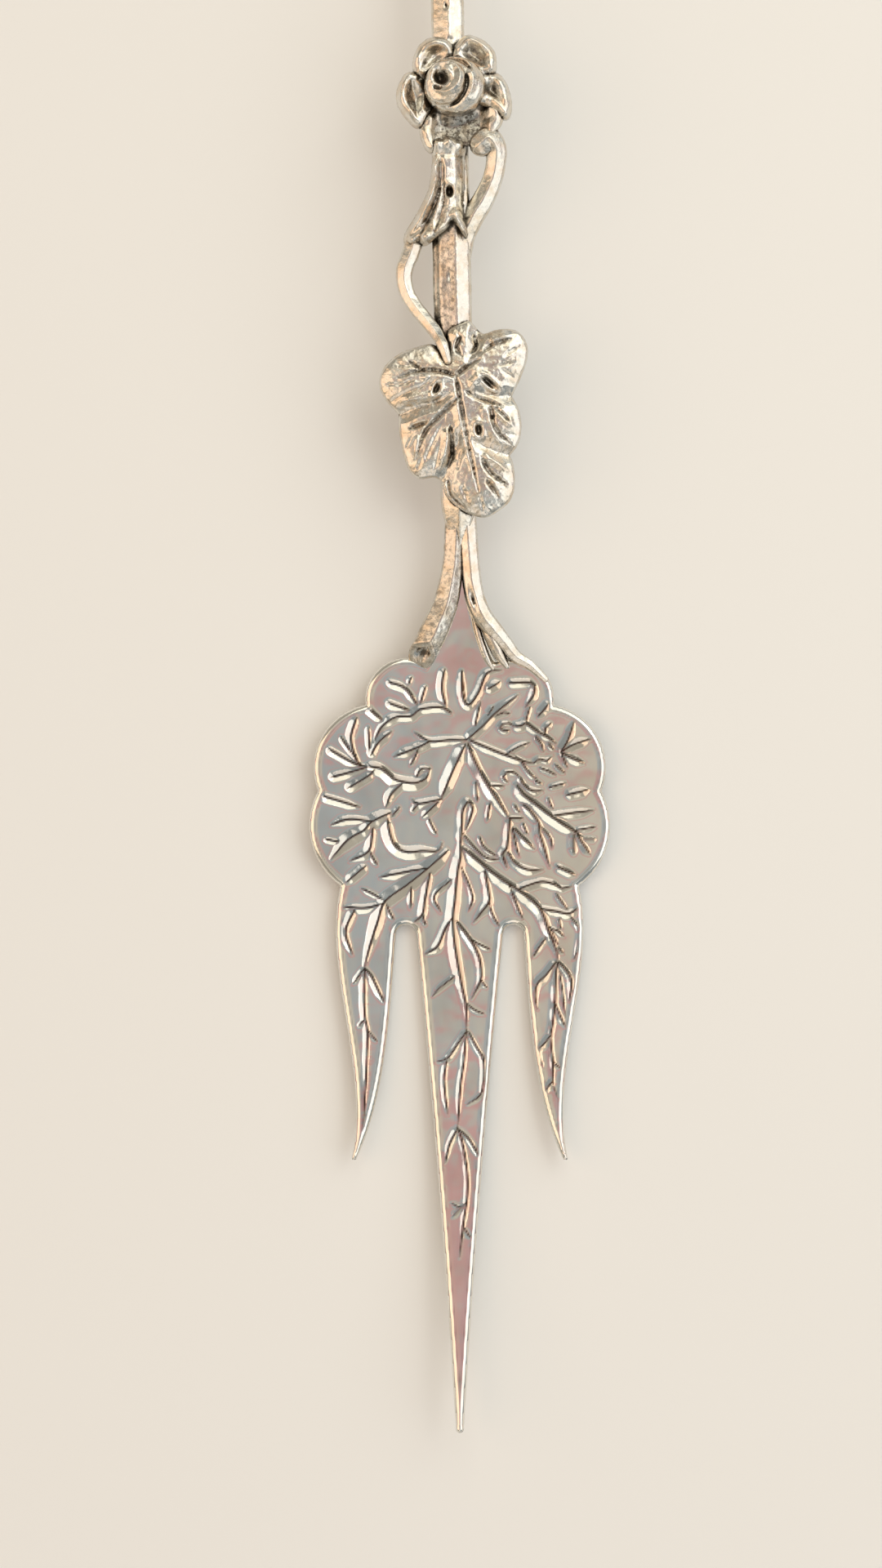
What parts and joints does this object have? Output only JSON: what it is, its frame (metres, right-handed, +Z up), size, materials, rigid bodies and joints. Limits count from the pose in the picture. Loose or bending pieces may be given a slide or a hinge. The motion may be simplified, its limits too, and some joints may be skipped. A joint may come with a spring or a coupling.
{
  "type": "serving fork",
  "caption": "Silver cake serving fork with a scalloped leaf blade, engraved veins, a long centre tine, and a cast handle of vine stem, leaf and rose.",
  "frame": {"origin": "on the table under the middle of the fork's length and width", "axes": "+Z up from the table with the fork on its back, +Y from the tine tips towards the handle's end, +X to the right"},
  "size_m": [0.0274, 0.165, 0.0104],
  "materials": {
    "polished_silver": "polished silver sheet with engraved veins and a bright bevelled rim",
    "antiqued_silver": "cast silver, finely pitted, dark patina in the hollows and worn bright on the high spots"
  },
  "bodies": {
    "root": {"blade": "polished_silver", "left_shoot": "antiqued_silver", "right_shoot": "antiqued_silver", "stem": "antiqued_silver", "vine_leaf": "antiqued_silver", "leaf_stalk": "antiqued_silver", "calyx": "antiqued_silver", "side_branch": "antiqued_silver", "rose_petal_1": "antiqued_silver", "rose_petal_2": "antiqued_silver", "rose_petal_3": "antiqued_silver", "rose_petal_4": "antiqued_silver", "rose_petal_5": "antiqued_silver", "rose_bud": "antiqued_silver", "end_bud": "antiqued_silver", "end_sepals": "antiqued_silver"}
  },
  "joints": []
}
